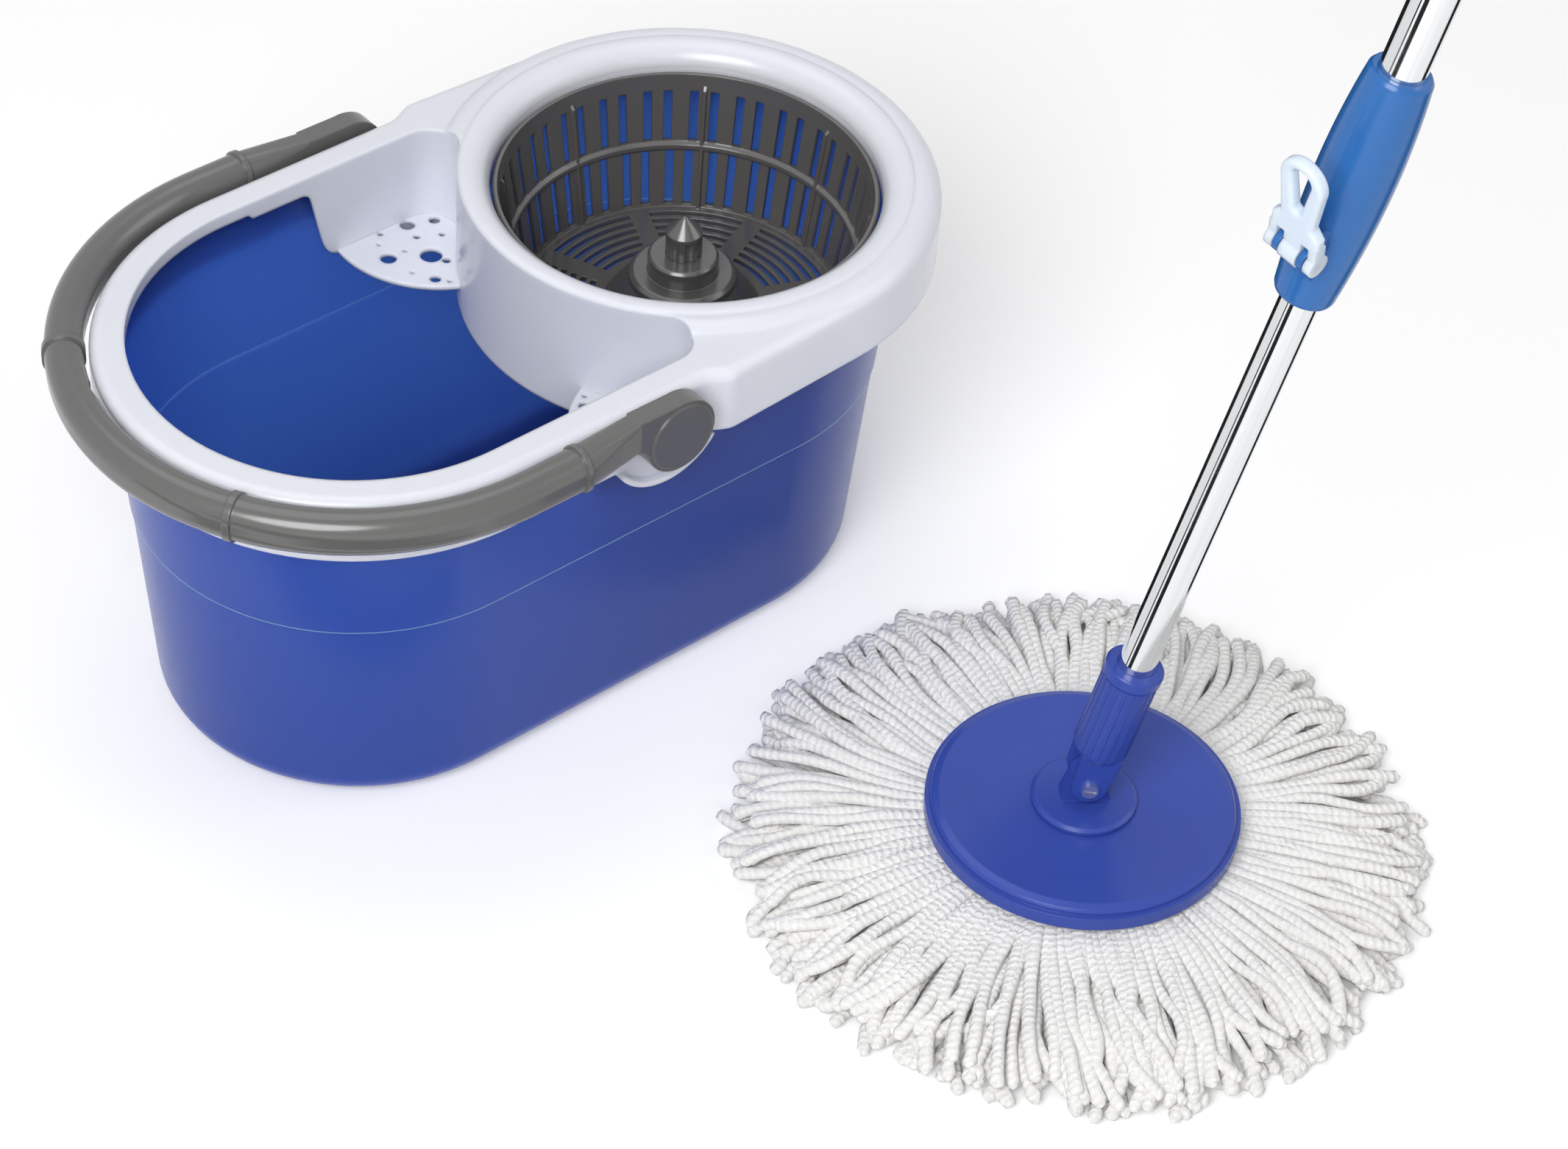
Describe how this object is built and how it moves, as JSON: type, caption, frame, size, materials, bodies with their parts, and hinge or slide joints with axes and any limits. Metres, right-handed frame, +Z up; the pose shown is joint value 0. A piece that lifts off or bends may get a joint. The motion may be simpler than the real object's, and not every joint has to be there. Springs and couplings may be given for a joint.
{
  "type": "spin mop",
  "caption": "Oval bucket with an open well, a slotted spinning basket under a collar and a swing-up carry handle, beside a press-to-spin mop with a leaning pole and loose strings",
  "frame": {"origin": "middle of the bucket's base, on the floor", "axes": "+Z up; +X along the bucket from the open well toward the spinning basket; the mop stands on the -Y side"},
  "size_m": [0.5597, 0.6616, 1.1708],
  "materials": {
    "blue_plastic": "smooth moulded, soft gloss",
    "white_plastic": "smooth moulded, soft gloss",
    "grey_plastic": "satin moulded",
    "dark_plastic": "satin moulded",
    "bearing_plastic": "plain moulded",
    "pin_plastic": "plain moulded",
    "bright_steel": "polished tube",
    "plain_steel": "plain",
    "sleeve_blue": "smooth moulded",
    "clip_clear": "milky, slightly translucent",
    "yarn": "fluffy yarn"
  },
  "bodies": {
    "bucket": {"tub": "blue_plastic", "deck": "white_plastic", "pillar": "bearing_plastic", "spindle": "plain_steel", "thrust_washer": "bearing_plastic", "handle_pins": "pin_plastic"},
    "bail": {"carry_handle": "grey_plastic"},
    "spinner": {"basket": "dark_plastic", "basket_hub": "dark_plastic", "hub_bush": "bearing_plastic", "drive_spike": "dark_plastic"},
    "upper_pole": {"upper_tube": "bright_steel", "end_cap": "sleeve_blue", "lock_sleeve": "sleeve_blue", "guide_ring": "bearing_plastic", "cam_pad": "bearing_plastic", "clip_pin": "plain_steel", "drive_screw": "plain_steel", "screw_plug": "bearing_plastic"},
    "clip": {"lock_clip": "clip_clear"},
    "slide": {"slide_bush": "bearing_plastic"},
    "lower_pole": {"lower_tube": "bright_steel", "drive_nut": "bearing_plastic", "fork_socket": "blue_plastic", "fork_screw": "plain_steel"},
    "mop_head": {"hinge_base": "blue_plastic", "mop_plate": "blue_plastic", "string_ring": "white_plastic", "strings_1": "yarn", "strings_2": "yarn", "strings_3": "yarn", "strings_4": "yarn", "strings_5": "yarn", "strings_6": "yarn", "strings_7": "yarn", "strings_8": "yarn"}
  },
  "joints": [
    {"name": "handle_swing", "type": "hinge", "parent": "bucket", "child": "bail", "pos_m": [-0.006, 0, 0.206], "axis": [0, 1, 0], "range_deg": [0, 95]},
    {"name": "basket_spin", "type": "hinge", "parent": "bucket", "child": "spinner", "pos_m": [0.112, 0, 0.13], "axis": [0, 0, 1], "continuous": true},
    {"name": "mop_lift", "type": "slide", "parent": "bucket", "child": "upper_pole", "axis": [0, 0, 1], "range_m": [0, 0.4]},
    {"name": "lock_lever", "type": "hinge", "parent": "upper_pole", "child": "clip", "pos_m": [0.14461, -0.37701, 0.40229], "axis": [-0.0584, 0.9893, 0.1336], "range_deg": [-70, 20]},
    {"name": "handle_press", "type": "slide", "parent": "upper_pole", "child": "slide", "axis": [0.1682, -0.1222, 0.9781], "range_m": [0, 0.18]},
    {"name": "head_spin", "type": "hinge", "parent": "slide", "child": "lower_pole", "pos_m": [0.11, -0.332, 0.054], "axis": [0.1682, -0.1222, 0.9781], "range_deg": [0, 660]},
    {"name": "head_tilt", "type": "hinge", "parent": "lower_pole", "child": "mop_head", "pos_m": [0.11, -0.332, 0.054], "axis": [0.5878, 0.809, 0], "range_deg": [-56, 80]}
  ],
  "couplings": [
    {"joint": "head_spin", "follows": "handle_press", "rad_per_m": 62.832}
  ]
}
